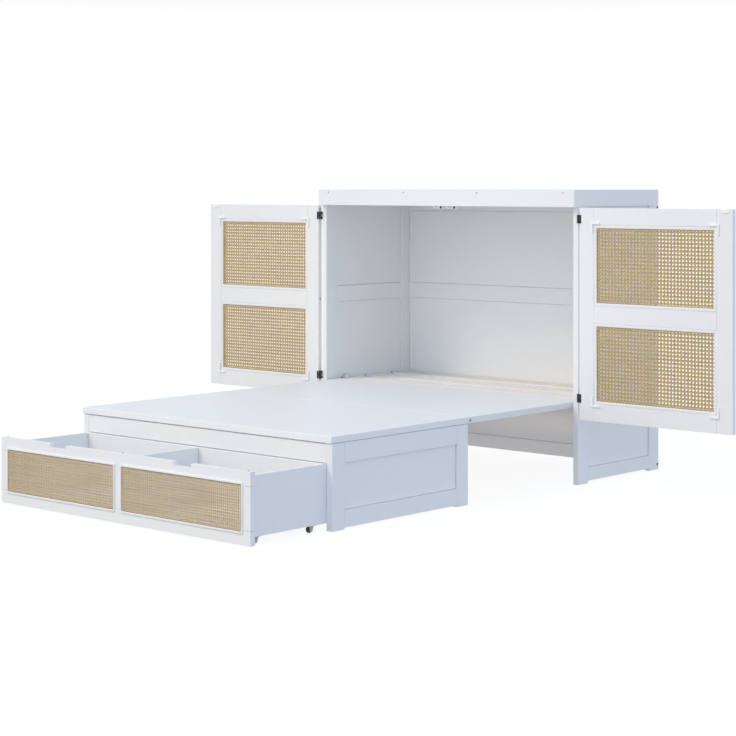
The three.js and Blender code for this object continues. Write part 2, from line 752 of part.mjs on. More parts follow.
function buildCaster(name, x, y) {
  const top = boxLow - seat;
  const inner = wheelWidth / 2 + running;
  const outer = inner + casterCheek;
  const plateLow = top - casterPlateThickness;
  const plateHalf = outer + casterPlateMargin;
  const plate = board(roundedRectangle(x - plateHalf, x + plateHalf, y - casterPlateLength / 2,
    y + casterPlateLength / 2, casterPlateThickness), "z", plateLow, top, metalEase);
  const cheeks = [-1, 1].map((sign) => board(cheekOutline(y, plateLow + casterPlateThickness / 2),
    "x", x + sign * inner, x + sign * outer, metalEase));
  const axle = rodAlong("x", axleRadius, x - inner - casterCheek / 2, x + inner + casterCheek / 2,
    y, axleHeight, 0, fineFacets);
  const wheelRoom = rodAlong("x", wheelRadius + running, x - inner, x + inner, y, axleHeight, 0);
  const body = cut(join(plate, ...cheeks), wheelRoom).add(solid(axle));
  add(`caster_bracket_${name}`, body, steel);
  add(`caster_wheel_${name}`, turned(wheelProfile(), x, y, axleHeight), greyPlastic);
}

function buildCasters() {
  const rows = { front: casterFrontY, rear: casterRearY };
  for (const [row, y] of Object.entries(rows)) {
    for (const [name, sign] of Object.entries(sides)) {
      buildCaster(`${row}_${name}`, sign * casterCentreX, y);
    }
  }
}

// Door pieces

// Both fields of a door's cane, as the low and high edge of each opening in the frame.
function doorBays() {
  const lower = doorLow + doorRail;
  const upper = lower + openingHeight + doorRail;
  return [[lower, lower + openingHeight], [upper, upper + openingHeight]];
}

function netCutters(from, to, low, high) {
  const cutters = [];
  const columnPitch = (to - from - netStrand) / netColumns;
  const rowPitch = (high - low - netStrand) / netRows;
  for (let column = 0; column < netColumns; column += 1) {
    for (let row = 0; row < netRows; row += 1) {
      const a = from + netStrand + column * columnPitch;
      const b = low + netStrand + row * rowPitch;
      cutters.push(block(a, a + columnPitch - netStrand, caneFace - overrun,
        caneFace + caneThickness + overrun, b, b + rowPitch - netStrand));
    }
  }
  return cutters;
}

function mirroredRectangle(sign, near, far, low, high) {
  return [Math.min(sign * near, sign * far), Math.max(sign * near, sign * far), low, high];
}

function buildDoor(name, sign) {
  const near = doorHingeEdge + doorStile;
  const far = doorFreeEdge - doorStile;
  const shape = rectangle(...mirroredRectangle(sign, doorHingeEdge, doorFreeEdge, doorLow, doorHigh));
  const steps = [];
  for (const [low, high] of doorBays()) {
    addWindow(shape, ...mirroredRectangle(sign, near + beadWidth, far - beadWidth,
      low + beadWidth, high - beadWidth));
    for (const [from, to] of [[doorInnerFace - overrun, doorInnerFace + beadStep],
      [doorOuterFace - beadStep, doorOuterFace + overrun]]) {
      steps.push(block(sign * near, sign * far, from, to, low, high));
    }
  }
  const frame = board(shape, "y", doorInnerFace, doorOuterFace);
  const reach = beadWidth - tongue;
  const bays = doorBays();
  const caneLow = bays[0][0] + reach;
  const caneHigh = bays[1][1] - reach;
  const pocket = block(sign * (near + reach - seat), sign * (far - reach + seat), caneFace - seat,
    caneFace + caneThickness + seat, caneLow - seat, caneHigh + seat);
  add(`door_frame_${name}`, cut(frame, ...steps, pocket), paint);
  const sheet = rectangle(...mirroredRectangle(sign, near + reach, far - reach, caneLow, caneHigh));
  const gaps = bays.flatMap(([low, high]) => netCutters(...mirroredRectangle(sign,
    near + beadWidth, far - beadWidth, low + beadWidth, high - beadWidth)));
  const plain = board(sheet, "y", caneFace, caneFace + caneThickness, 0);
  add(`door_cane_${name}`, cut(plain, ...gaps), cane);
  const edge = doorFreeEdge - strikeFromEdge;
  const top = doorHigh - strikeFromTop + strikeHeight / 2;
  const oval = roundedRectangle(...mirroredRectangle(sign, edge - strikeWidth / 2,
    edge + strikeWidth / 2, top - strikeHeight, top), strikeHeight / 2 - metalEase);
  const face = doorInnerFace - seat;
  add(`door_strike_plate_${name}`,
    board(oval, "y", face - strikeThickness, face, metalEase), whitePlastic);
}

function hingeSegments(centre) {
  const low = centre - hingeHeight / 2;
  const third = hingeHeight / 3;
  return [[low, low + third - seat / 2], [low + third + seat / 2, low + 2 * third - seat / 2],
    [low + 2 * third + seat / 2, low + hingeHeight]];
}

function upright(x, low, high, radius, ease) {
  return rodAlong("z", radius, low, high, x, doorPivotY, ease);
}

function buildHinge(label, name, sign, centre) {
  const x = sign * doorPivotX;
  const [bottom, middle, top] = hingeSegments(centre);
  const low = bottom[0];
  const high = top[1];
  const reach = knuckleRadius + running;
  const plateInner = cabinetHalf + seat;
  const plate = block(sign * plateInner, sign * (plateInner + hingeLeafThickness), doorPivotY,
    hingeLeafDepth, low, high);
  const middleRoom = block(x - reach, x + reach, doorPivotY - reach, doorPivotY + reach,
    middle[0] - seat, middle[1] + seat);
  const cabinetLeaf = cut(plate, middleRoom)
    .add(solid(upright(x, bottom[0], bottom[1], knuckleRadius, metalEase)))
    .add(solid(upright(x, top[0], top[1], knuckleRadius, metalEase)))
    .add(solid(upright(x, bottom[1] - hingePinHold, top[0] + hingePinHold, hingePinRadius, 0)));
  add(`cabinet_hinge_leaf_${label}_${name}`, cabinetLeaf, blackMetal);
  const edge = doorHingeEdge - seat;
  const wrapFront = doorInnerFace - seat - hingeLeafThickness;
  const doorPlate = block(sign * (edge - hingeLeafThickness), sign * edge, wrapFront,
    doorOuterFace - running, low, high);
  const wrap = block(sign * (edge - hingeLeafThickness), sign * (edge + hingeWrapWidth),
    wrapFront, doorInnerFace - seat, low, high);
  const otherRooms = [bottom, top].map(([from, to]) => block(x - reach, x + reach,
    doorPivotY - reach, doorPivotY + reach, from - seat, to + seat));
  const bore = upright(x, middle[0] - overrun, middle[1] + overrun, hingePinRadius + seat, 0);
  const barrel = upright(x, middle[0], middle[1], knuckleRadius, metalEase);
  const doorLeaf = cut(join(doorPlate, wrap), ...otherRooms).add(solid(barrel));
  add(`door_hinge_leaf_${label}_${name}`, cut(doorLeaf, bore), blackMetal);
}

function buildDoors() {
  for (const [name, sign] of Object.entries(sides)) {
    buildDoor(name, sign);
    for (const [label, centre] of Object.entries(hingeCentres)) {
      buildHinge(label, name, sign, centre);
    }
  }
}

// The whole bed

for (const [name, sign] of Object.entries(sides)) {
  buildCabinetSide(name, sign);
  buildBaseSide(name, sign);
}
buildCabinetTop();
buildHeader();
buildBack();
buildCleats();
buildSlats();
buildLatches();
buildPlatformPanels();
buildSeamLeaf("front", -1, true);
buildSeamLeaf("rear", 1, false);
buildStraps();
buildBaseInside();
buildDrawerFront();
buildDrawerBox();
buildCasters();
buildDoors();

// The origin is the middle of the overall box on the floor.
const foremost = drawerFrontPlane - mouldingHeight;
group.position.y = -(foremost + cabinetDepth) / 2;

export default group;
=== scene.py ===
import json
import math

import bmesh
import bpy
from mathutils import Matrix, Vector


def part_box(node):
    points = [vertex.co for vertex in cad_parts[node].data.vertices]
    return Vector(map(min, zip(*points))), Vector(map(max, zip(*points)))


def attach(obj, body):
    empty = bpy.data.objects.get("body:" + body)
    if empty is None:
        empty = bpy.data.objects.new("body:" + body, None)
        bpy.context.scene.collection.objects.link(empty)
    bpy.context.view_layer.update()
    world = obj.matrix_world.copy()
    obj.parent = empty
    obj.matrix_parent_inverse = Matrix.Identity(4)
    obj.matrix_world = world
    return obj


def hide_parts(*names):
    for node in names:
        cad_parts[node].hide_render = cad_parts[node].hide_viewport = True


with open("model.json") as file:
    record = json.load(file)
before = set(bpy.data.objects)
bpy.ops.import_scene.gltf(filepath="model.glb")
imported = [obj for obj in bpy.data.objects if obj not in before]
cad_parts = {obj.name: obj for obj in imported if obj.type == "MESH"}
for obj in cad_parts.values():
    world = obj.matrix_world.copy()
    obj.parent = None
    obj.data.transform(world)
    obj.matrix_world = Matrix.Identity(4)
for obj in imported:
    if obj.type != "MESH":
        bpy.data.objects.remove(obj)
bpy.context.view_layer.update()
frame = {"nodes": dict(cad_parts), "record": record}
nodes = frame["nodes"]
sideSigns = {"left": -1, "right": 1}


# Camera, as the photo was taken: level, off the right corner of the foot
cameraSet = {
    "place": (5.310, -5.7963, 1.2395),
    "heading": 41.8,  # degrees, turned left of the bed's own direction
    "lens": 93.0,
    "sensor": 36,
    "shiftY": -0.2484,
    "reach": 60,  # nothing further away is drawn
}


def makeCamera(s):
    data = bpy.data.cameras.new("camera")
    data.lens = s["lens"]
    data.sensor_width = s["sensor"]
    data.shift_y = s["shiftY"]
    data.clip_end = s["reach"]
    camera = bpy.data.objects.new("camera", data)
    bpy.context.scene.collection.objects.link(camera)
    camera.location = s["place"]
    camera.rotation_euler = (math.radians(90), 0, math.radians(s["heading"]))
    bpy.context.scene.camera = camera


makeCamera(cameraSet)
print("camera set")


# Node helpers. Links and values are given by the name or the number of the input.
def addNode(tree, kind, links, values=None, **settings):
    node = tree.nodes.new(kind)
    for key, value in settings.items():
        setattr(node, key, value)
    for key, source in links.items():
        tree.links.new(source, node.inputs[key])
    for key, value in (values or {}).items():
        node.inputs[key].default_value = value
    return node


def addRamp(tree, source, stops, tones):
    ramp = addNode(tree, "ShaderNodeValToRGB", {"Fac": source})
    marks = ramp.color_ramp.elements
    while len(marks) < len(stops):
        marks.new(0.5)
    for mark, stop, tone in zip(marks, stops, tones):
        mark.position = stop
        mark.color = (*tone, 1)
    return ramp.outputs["Color"]


def addRange(tree, source, low, high):
    node = addNode(tree, "ShaderNodeMapRange", {"Value": source}, {"To Min": low, "To Max": high})
    return node.outputs["Result"]


def addNoise(tree, coords, scale, detail, stretch, turn):
    mapping = addNode(tree, "ShaderNodeMapping", {"Vector": coords},
                      {"Scale": stretch, "Rotation": [math.radians(a) for a in turn]})
    noise = addNode(tree, "ShaderNodeTexNoise", {"Vector": mapping.outputs["Vector"]},
                    {"Scale": scale, "Detail": detail})
    return noise.outputs["Fac"]


def addBump(tree, height, depth, strength, under):
    links = {"Height": height, "Normal": under} if under else {"Height": height}
    bump = addNode(tree, "ShaderNodeBump", links, {"Distance": depth, "Strength": strength})
    return bump.outputs["Normal"]


def newMaterial(name):
    material = bpy.data.materials.new(name)
    material.use_nodes = True
    tree = material.node_tree
    return material, tree, tree.nodes["Principled BSDF"]


# Every finish has a slow noise, which sets its tone, and a fine one. One of them sets the
# gloss. A bump is a depth in metres and a strength.
def makeMaterial(name, s, stretch=(1, 1, 1), turn=(0, 0, 0)):
    material, tree, shader = newMaterial(name)
    coords = tree.nodes.new("ShaderNodeTexCoord").outputs["Object"]
    heights, normal = {}, None
    for layer in ("slow", "fine"):
        noise = s[layer]
        heights[layer] = addNoise(tree, coords, noise["scale"], noise["detail"], stretch, turn)
        if "bump" in noise:
            normal = addBump(tree, heights[layer], *noise["bump"], normal)
    tone = addRamp(tree, heights["slow"], s["stops"], s["tones"])
    gloss = addRange(tree, heights[s["glossFrom"]], *s["gloss"])
    tree.links.new(tone, shader.inputs["Base Color"])
    tree.links.new(gloss, shader.inputs["Roughness"])
    tree.links.new(normal, shader.inputs["Normal"])
    shader.inputs["Metallic"].default_value = s.get("metal", 0)
    shader.inputs["Sheen Weight"].default_value = s.get("sheen", 0)
    return material


# Sprayed satin paint: fine orange peel over slow waves, a little uneven gloss
paintSet = {
    "stops": (0.25, 0.75),
    "tones": [(0.868, 0.872, 0.876), (0.882, 0.886, 0.890)],
    "gloss": (0.34, 0.50),
    "glossFrom": "slow",
    "slow": {"scale": 34, "detail": 4, "bump": (0.0003, 0.25)},
    "fine": {"scale": 520, "detail": 2, "bump": (0.00008, 0.35)},
}

# Planed softwood. The slats' tops are painted paler towards the front, as painted light, and their
# front and rear faces are paler than their tops, as a painted highlight.
woodGrain = {
    "stops": (0.30, 0.48, 0.70),
    "glossFrom": "fine",
    "slow": {"scale": 46, "detail": 6, "bump": (0.0003, 0.3)},
    "fine": {"scale": 260, "detail": 3, "bump": (0.0002, 0.5)},
}
woodSets = {
    "woodAcross": {"tones": [(0.71, 0.675, 0.615), (0.775, 0.745, 0.69), (0.82, 0.80, 0.75)],
                   "gloss": (0.55, 0.75)},
    "slatTopPaintedLight1": {"tones": [(0.86, 0.81, 0.77), (0.92, 0.87, 0.84), (0.95, 0.91, 0.89)],
                 "gloss": (0.55, 0.75)},
    "slatTopPaintedLight2": {"tones": [(0.81, 0.77, 0.73), (0.87, 0.83, 0.80), (0.91, 0.88, 0.85)],
                 "gloss": (0.55, 0.75)},
    "slatEdgePaintedHighlight": {"tones": [(0.91, 0.88, 0.85), (0.94, 0.915, 0.89), (0.96, 0.94, 0.92)],
                 "gloss": (0.50, 0.70)},
}

# Split cane: each strand has its own tone, with fine fibres along it
caneFibre = {
    "stops": (0.28, 0.5, 0.72),
    "gloss": (0.42, 0.66),
    "glossFrom": "fine",
    "slow": {"scale": 170, "detail": 2},
    "fine": {"scale": 1500, "detail": 2, "bump": (0.0001, 0.5)},
    "sheen": 0.1,
}
caneTones = {
    "door": [(0.57, 0.41, 0.18), (0.70, 0.517, 0.248), (0.81, 0.62, 0.33)],
    "drawer": [(0.56, 0.415, 0.225), (0.755, 0.58, 0.34), (0.92, 0.745, 0.48)],
}

# One tone with fine texture: plastics, metals, reeds and small dark parts; some dark tones are
# painted shade
plainGrain = {
    "stops": (0.3, 0.7),
    "glossFrom": "fine",
    "patch": 12,  # the tone varies over this many grains
    "patchDetail": 3,
    "grainDetail": 2,
    "strength": 0.6,
}
plainSets = {
    "whitePlastic": {"tones": [(0.94, 0.94, 0.935), (0.97, 0.97, 0.965)],
                     "gloss": (0.25, 0.38), "grain": 700, "bump": 0.00004},
    "blackMetal": {"tones": [(0.010, 0.010, 0.011), (0.022, 0.022, 0.024)],
                   "gloss": (0.36, 0.55), "grain": 1400, "bump": 0.00006},
    "greyPlastic": {"tones": [(0.020, 0.022, 0.026), (0.036, 0.039, 0.044)],
                    "gloss": (0.5, 0.7), "grain": 600, "bump": 0.00008},
    # The plate on each latch's end, of a dark tone
    "darkEndPlate": {"tones": [(0.03, 0.03, 0.032), (0.05, 0.05, 0.052)],
                   "gloss": (0.6, 0.8), "grain": 500, "bump": 0.0001},
    "screwCap": {"tones": [(0.52, 0.53, 0.54), (0.58, 0.59, 0.60)],
                 "gloss": (0.3, 0.45), "grain": 500, "bump": 0.00004},
    # Dark dots: their dark tone is painted shade, as inside a hole
    "paintedHoleShade": {"tones": [(0.12, 0.125, 0.13), (0.17, 0.175, 0.18)],
                  "gloss": (0.5, 0.7), "grain": 500, "bump": 0.00006},
    # The drawer's spline; the doors' lining takes this dark tone as painted shade
    "splineAndShade": {"tones": [(0.24, 0.19, 0.115), (0.33, 0.27, 0.17)],
               "gloss": (0.45, 0.65), "grain": 300, "bump": 0.0002},
    # The reed's dark brown is partly its own tone and partly painted shade from the bead above
    "reedAndShade": {"tones": [(0.34, 0.28, 0.20), (0.44, 0.37, 0.27)],
             "gloss": (0.45, 0.65), "grain": 300, "bump": 0.0002},
    "zinc": {"tones": [(0.42, 0.405, 0.385), (0.52, 0.50, 0.475)],
             "gloss": (0.3, 0.45), "grain": 420, "bump": 0.00003, "metal": 0.15},
}
steelSet = {"tones": [(0.50, 0.51, 0.52), (0.60, 0.61, 0.62)],
            "gloss": (0.24, 0.42), "grain": 300, "bump": 0.00003, "metal": 1.0}

# How far each grain is drawn out: a small number makes it long in that direction
stretches = {
    "woodAcross": (0.06, 1, 1),
    "woodAlong": (1, 0.06, 1),
    "steelAcross": (0.04, 1, 1),
    "caneAcross": (0.02, 1, 1),
    "caneUp": (1, 1, 0.02),
}
strandKinds = {  # in the order of the material numbers, with the turn about Y in degrees
    "Up": ("caneUp", 0),
    "Across": ("caneAcross", 0),
    "Rise": ("caneAcross", 45),
    "Fall": ("caneAcross", -45),
}


def plainMaterial(name, s, stretch=(1, 1, 1)):
    base = plainGrain
    layers = {
        "slow": {"scale": s["grain"] / base["patch"], "detail": base["patchDetail"]},
        "fine": {"scale": s["grain"], "detail": base["grainDetail"],
                 "bump": (s["bump"], base["strength"])},
    }
    return makeMaterial(name, {**base, **s, **layers}, stretch)


def caneMaterials(kind, tones):
    return [makeMaterial(kind + "Cane" + strand, dict(caneFibre, tones=tones),
                         stretches[stretch], (0, turn, 0))
            for strand, (stretch, turn) in strandKinds.items()]


paint = makeMaterial("paint", paintSet)
wood = {name: makeMaterial(name, dict(woodGrain, **s), stretches["woodAcross"])
        for name, s in woodSets.items()}
woodAlong = makeMaterial("woodAlong", dict(woodGrain, **woodSets["woodAcross"]),
                         stretches["woodAlong"])
caneStrands = {kind: caneMaterials(kind, tones) for kind, tones in caneTones.items()}
plain = {name: plainMaterial(name, s) for name, s in plainSets.items()}
steelAcross = plainMaterial("steelAcross", steelSet, stretches["steelAcross"])
print("materials:", len(bpy.data.materials))


# Mesh helpers. Every piece is made in place, in the bed's own frame.
def linkPiece(name, mesh, body, materials, replaced=()):
    piece = bpy.data.objects.new(name, mesh)
    bpy.context.scene.collection.objects.link(piece)
    for material in materials:
        mesh.materials.append(material)
    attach(piece, body)
    if replaced:
        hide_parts(*replaced)
    return piece


def meshFromBm(name, bm, smoothAngle=40):
    bmesh.ops.recalc_face_normals(bm, faces=bm.faces)
    mesh = bpy.data.meshes.new(name)
    bm.to_mesh(mesh)
    bm.free()
    mesh.polygons.foreach_set("use_smooth", [True] * len(mesh.polygons))
    mesh.set_sharp_from_angle(angle=math.radians(smoothAngle))
    return mesh


def roundEdges(piece, width, segments=2, edgeAngle=35):
    bevel = piece.modifiers.new("roundEdges", "BEVEL")
    bevel.width = width
    bevel.segments = segments
    bevel.limit_method = "ANGLE"
    bevel.angle_limit = math.radians(edgeAngle)
    bevel.harden_normals = True
    return piece


# A straight prism on an outline. The outline lies in the plane square to the axis.
def addPrism(bm, outline, axis, low, high):
    def place(a, b, c):
        return {"x": (c, a, b), "y": (a, c, b), "z": (a, b, c)}[axis]
    first = [bm.verts.new(place(a, b, low)) for a, b in outline]
    last = [bm.verts.new(place(a, b, high)) for a, b in outline]
    bm.faces.new(first)
    bm.faces.new(last[::-1])
    count = len(outline)
    for i in range(count):
        j = (i + 1) % count
        bm.faces.new((first[i], last[i], last[j], first[j]))


def boxOutline(a, b, c, d):
    return [(a, c), (b, c), (b, d), (a, d)]


# A rectangle, moved outwards on all sides, or inwards by a negative distance
def grown(rectangle, by):
    a, b, c, d = rectangle
    return (a - by, b + by, c - by, d + by)


def arcPoints(a, b, radius, start, end, steps=6):
    turns = [start + (end - start) * i / steps for i in range(steps + 1)]
    return [(a + radius * math.cos(math.radians(t)), b + radius * math.sin(math.radians(t)))
            for t in turns]


def roundOutline(a0, a1, b0, b1, radius, steps=5):
    return (arcPoints(a1 - radius, b0 + radius, radius, -90, 0, steps)
            + arcPoints(a1 - radius, b1 - radius, radius, 0, 90, steps)
            + arcPoints(a0 + radius, b1 - radius, radius, 90, 180, steps)
            + arcPoints(a0 + radius, b0 + radius, radius, 180, 270, steps))


# A body of revolution about any axis, from (radius, height) pairs that start and end on it
def addTurned(bm, profile, middle, axis, facets):
    spin = Vector((0, 0, 1)).rotation_difference(Vector(axis)).to_matrix()
    rings = []
    for radius, height in profile:
        if radius == 0:
            rings.append([bm.verts.new(Vector(middle) + spin @ Vector((0, 0, height)))])
            continue
        ring = []
        for i in range(facets):
            turn = 2 * math.pi * i / facets
            point = Vector((radius * math.cos(turn), radius * math.sin(turn), height))
            ring.append(bm.verts.new(Vector(middle) + spin @ point))
        rings.append(ring)
    for one, two in zip(rings, rings[1:]):
        for i in range(facets):
            j = (i + 1) % facets
            corners = [one[i % len(one)], one[j % len(one)], two[j % len(two)], two[i % len(two)]]
            bm.faces.new(list(dict.fromkeys(corners)))


# Square boards that share one thickness, from the rectangles they cover
def squareBoards(axis, low, high, rectangles):
    return [(axis, boxOutline(*rectangle), low, high) for rectangle in rectangles]


# Boards that meet with a fine groove, as glued and painted frames do
def boardPiece(name, boards, body, ease, replaced, material=paint):
    bm = bmesh.new()
    for axis, outline, low, high in boards:
        addPrism(bm, outline, axis, low, high)
    piece = linkPiece(name, meshFromBm(name, bm), body, [material], replaced)
    return roundEdges(piece, ease)


def addMoulding(bm, x0, x1, z0, z1, profile):
    corners = [(x0, z0, 1, 1), (x1, z0, -1, 1), (x1, z1, -1, -1), (x0, z1, 1, -1)]
    rings = []
    for x, z, inX, inZ in corners:
        rings.append([bm.verts.new((x + inX * d, y, z + inZ * d)) for d, y in profile])
    count = len(profile)
    for i in range(4):
        one, two = rings[i], rings[(i + 1) % 4]
        for k in range(count):
            m = (k + 1) % count
            bm.faces.new((one[k], two[k], two[m], one[m]))


# Mouldings swept round rectangles with mitred corners. The profile holds pairs of
# (distance in from the rectangle, place along Y).
def mouldingPiece(name, rectangles, profile, body, material, smoothAngle=50):
    bm = bmesh.new()
    for rectangle in rectangles:
        addMoulding(bm, *rectangle, profile)
    return linkPiece(name, meshFromBm(name, bm, smoothAngle), body, [material])


# A rounded bead. A negative rise turns its round side to the rear.
def beadProfile(width, back, front, rise, steps=10):
    half = width / 2
    crest = arcPoints(0, 0, 1, 180, 0, steps)
    points = [(half + half * x, front + rise - rise * y) for x, y in crest]
    return [(0, back)] + points + [(width, back)]


# A flattened round strip, such as a reed or a spline
def stripProfile(start, width, thick, middle, steps=12):
    half = width / 2
    ring = arcPoints(0, 0, 1, 180, -180, steps)[:-1]
    return [(half + half * x + start, middle - thick / 2 * y) for x, y in ring]


# Woven cane: pairs of upright and level strands with two sloping ones between the holes.
# One cell of the pattern is made and repeated by two arrays.
weaveSets = {
    "door": {"pitch": (0.0157, 0.01507), "strand": 0.0037, "pair": 0.0020, "thick": 0.0014,
             "lift": 0.0008, "under": 0.001},
    "drawer": {"pitch": (0.01037, 0.01004), "strand": 0.0026, "pair": 0.0014, "thick": 0.0007,
               "lift": 0.0006, "under": 0.001},
}
slopeSet = {
    "over": 0.9,  # the sloping strands lie this share of their thickness over the lifted ones
    "ends": 0.4,  # and come down to this share of that level at their ends
    "level": (0.3, 0.7),  # they lie level between these shares of their length
    "drop": 0.4,  # the falling one lies this share of its thickness under the rising one
}


def addStrand(bm, points, side, s, index):
    across = Vector(side).normalized() * (s["strand"] / 2)
    up = Vector((0, -1, 0)) * (s["thick"] / 2)
    rings = []
    for x, y, z in points:
        middle = Vector((x, -y, z))
        rings.append([bm.verts.new(middle + d) for d in (-across, up, across, -up)])
    for one, two in zip(rings, rings[1:]):
        for k in range(4):
            m = (k + 1) % 4
            face = bm.faces.new((one[k], two[k], two[m], one[m]))
            face.material_index = index


# Strands in one direction: their place across the cell, and where they rise and dip
def straightStrands(bm, s, upright):
    width, height = s["pitch"] if upright else s["pitch"][::-1]
    half, lift = height / 2, s["lift"]
    for sign in (-1, 1):
        place = sign * (width / 2 - s["pair"])
        low = 1 if upright else -1
        wave = [(-half, 0), (-half + s["pair"], sign * lift * low), (0, 0),
                (half - s["pair"], -sign * lift * low), (half, 0)]
        if upright:
            addStrand(bm, [(place, y, z) for z, y in wave], (1, 0, 0), s, 0)
        else:
            addStrand(bm, [(x, y, place) for x, y in wave], (0, 0, 1), s, 1)


def slopingStrands(bm, s, slope):
    halfX, halfZ = s["pitch"][0] / 2, s["pitch"][1] / 2
    top = s["thick"] * slope["over"] + s["lift"]
    end, drop = slope["ends"] * top, slope["drop"] * s["thick"]
    stops = [(0, end)] + [(t, top) for t in slope["level"]] + [(1, end)]
    for fromX, fromZ in ((0, -halfZ), (-halfX, 0)):
        rise = [(fromX + halfX * t, y, fromZ + halfZ * t) for t, y in stops]
        fall = [(-fromX - halfX * t, y - drop, fromZ + halfZ * t) for t, y in stops]
        addStrand(bm, rise, (1, 0, -1), s, 2)
        addStrand(bm, fall, (1, 0, 1), s, 3)


def caneCellMesh(name, s):
    bm = bmesh.new()
    straightStrands(bm, s, True)
    straightStrands(bm, s, False)
    slopingStrands(bm, s, slopeSet)
    return meshFromBm(name, bm, 180)


# Fills a rectangle with cells. Their edges run on under what holds the cane.
def canePiece(name, rectangle, y, body, kind, replaced):
    s = weaveSets[kind]
    x0, x1, z0, z1 = rectangle
    pitchX, pitchZ = s["pitch"]
    columns = math.ceil((x1 - x0 + s["under"]) / pitchX)
    rows = math.ceil((z1 - z0 + s["under"]) / pitchZ)
    startX = (x0 + x1 - (columns - 1) * pitchX) / 2
    startZ = (z0 + z1 - (rows - 1) * pitchZ) / 2
    mesh = caneCellMesh(name, s)
    mesh.transform(Matrix.Translation((startX, y, startZ)))
    piece = linkPiece(name, mesh, body, caneStrands[kind], replaced)
    for count, step in ((columns, (pitchX, 0, 0)), (rows, (0, 0, pitchZ))):
        array = piece.modifiers.new("repeat", "ARRAY")
        array.count = count
        array.use_relative_offset = False
        array.use_constant_offset = True
        array.constant_offset_displace = step


# Small caps and screw heads
capSet = {
    "radius": 0.0052,
    "height": 0.0012,
    "ring": 0.0012,
    "ringEase": 0.3,  # the ring slopes on both sides by this share of its width
    "dish": 0.0005,
    "foot": 0.96,  # the radius of what sits in the wood, as a share of the cap's
    "facets": 28,
}


def addCap(bm, middle, axis, s, scale):
    r, h, ring, dish = (s[k] * scale for k in ("radius", "height", "ring", "dish"))
    ease = s["ringEase"]
    profile = [(0, -h), (r * s["foot"], -h), (r, 0), (r - ring * ease, h), (r - ring, h),
               (r - ring * (1 + ease), h - dish), (0, h - dish)]
    addTurned(bm, profile, middle, axis, s["facets"])


def capPiece(name, places, body, material, scale):
    bm = bmesh.new()
    for middle, axis in places:
        addCap(bm, middle, axis, capSet, scale)
    linkPiece(name, meshFromBm(name, bm), body, [material])


print("helpers ready")


# Cabinet sides: stiles under one long top rail, with lower rails between them
cabinetSet = {
    "stile": 0.071,
    "topRail": 0.070,
    "midRail": (0.697, 0.770),
    "bottomRail": (0.011, 0.066),
    "joint": 0.0007,  # the fine gap that shows where two boards meet
    "ease": 0.0009,
}


def buildCabinetSides(s):
    for name in sideSigns:
        low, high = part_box("cabinet_side_frame_" + name)
        front, rear = low.y, high.y
        railLow = high.z - s["topRail"]
        inner = (front + s["stile"], rear - s["stile"])
        between = (inner[0] + s["joint"], inner[1] - s["joint"])
        boards = squareBoards("x", low.x, high.x, [
            (front, inner[0], 0, railLow - s["joint"]),
            (inner[1], rear, 0, railLow - s["joint"]),
            (front, rear, railLow, high.z),
            (*between, *s["midRail"]),
            (*between, *s["bottomRail"]),
        ])
        boardPiece("cabinetSide_" + name, boards, "cabinet", s["ease"],
                   ["cabinet_side_frame_" + name])


# The rails of the back run over its stiles, which lie level with the panels
backSet = {
    "stile": 0.040,
    "bottomRail": (0.009, 0.069),
    "topRail": 0.076,
    "step": 0.0036,  # from the face of the rails to the face of the stiles
    "shadowGap": 0.0015,  # more room for the panels at the outer rails
    "sideGap": 0.0010,
    "sheetRear": 0.0004,
    "joint": 0.0004,
    "ease": 0.0008,
}


def buildCabinetBack(s):
    low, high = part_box("cabinet_back_frame")
    x0, x1 = low.x + s["sideGap"], high.x - s["sideGap"]
    inner = (x0 + s["stile"] + s["joint"], x1 - s["stile"] - s["joint"])
    step = low.y + s["step"]
    boards = squareBoards("y", step, high.y, [
        (x0, x0 + s["stile"], low.z, high.z),
        (x1 - s["stile"], x1, low.z, high.z),
    ])
    for rail in (s["bottomRail"], cabinetSet["midRail"], (high.z - s["topRail"], high.z)):
        boards += squareBoards("y", low.y, step, [(x0, x1, *rail)])
        boards += squareBoards("y", step, high.y, [(*inner, *rail)])
    boardPiece("cabinetBack", boards, "cabinet", s["ease"], ["cabinet_back_frame"])


# Floating panels: a field in each opening, a hair smaller than it, on one thin sheet
panelSet = {"gap": 0.0010, "sheet": 0.003, "ease": 0.0006}


def buildPanel(node, name, axis, openings, body, s, sheetMiddle=None):
    low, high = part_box(node)
    along = "xyz".index(axis)
    a, b = [i for i in range(3) if i != along]
    middle, half = sheetMiddle or (low[along] + high[along]) / 2, s["sheet"] / 2
    boards = squareBoards(axis, middle - half, middle + half,
                          [(low[a], high[a], low[b], high[b])])
    boards += squareBoards(axis, low[along], high[along],
                           [grown(opening, -s["gap"]) for opening in openings])
    boardPiece(name, boards, body, s["ease"], [node])


def buildCabinetPanels(s, cabinet, back):
    bottom, middle = cabinet["bottomRail"][1], cabinet["midRail"]
    for name in sideSigns:
        low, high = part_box("cabinet_side_frame_" + name)
        y0, y1 = low.y + cabinet["stile"], high.y - cabinet["stile"]
        openings = [(y0, y1, bottom, middle[0]), (y0, y1, middle[1], high.z - cabinet["topRail"])]
        buildPanel("cabinet_side_panel_" + name, "cabinetPanel_" + name, "x", openings,
                   "cabinet", s)
    bottom = back["bottomRail"][1] + back["shadowGap"]
    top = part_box("cabinet_back_frame")[1].z - back["topRail"] - back["shadowGap"] / 2
    low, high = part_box("cabinet_back_panel")
    openings = [(low.x, high.x, bottom, middle[0]), (low.x, high.x, middle[1], top)]
    thin = dict(s, sheet=s["sheet"] / 2)
    buildPanel("cabinet_back_panel", "cabinetBackPanel", "y", openings, "cabinet", thin,
               high.y - back["sheetRear"] - thin["sheet"] / 2)


buildCabinetSides(cabinetSet)
buildCabinetBack(backSet)
buildCabinetPanels(panelSet, cabinetSet, backSet)
print("cabinet frames built")


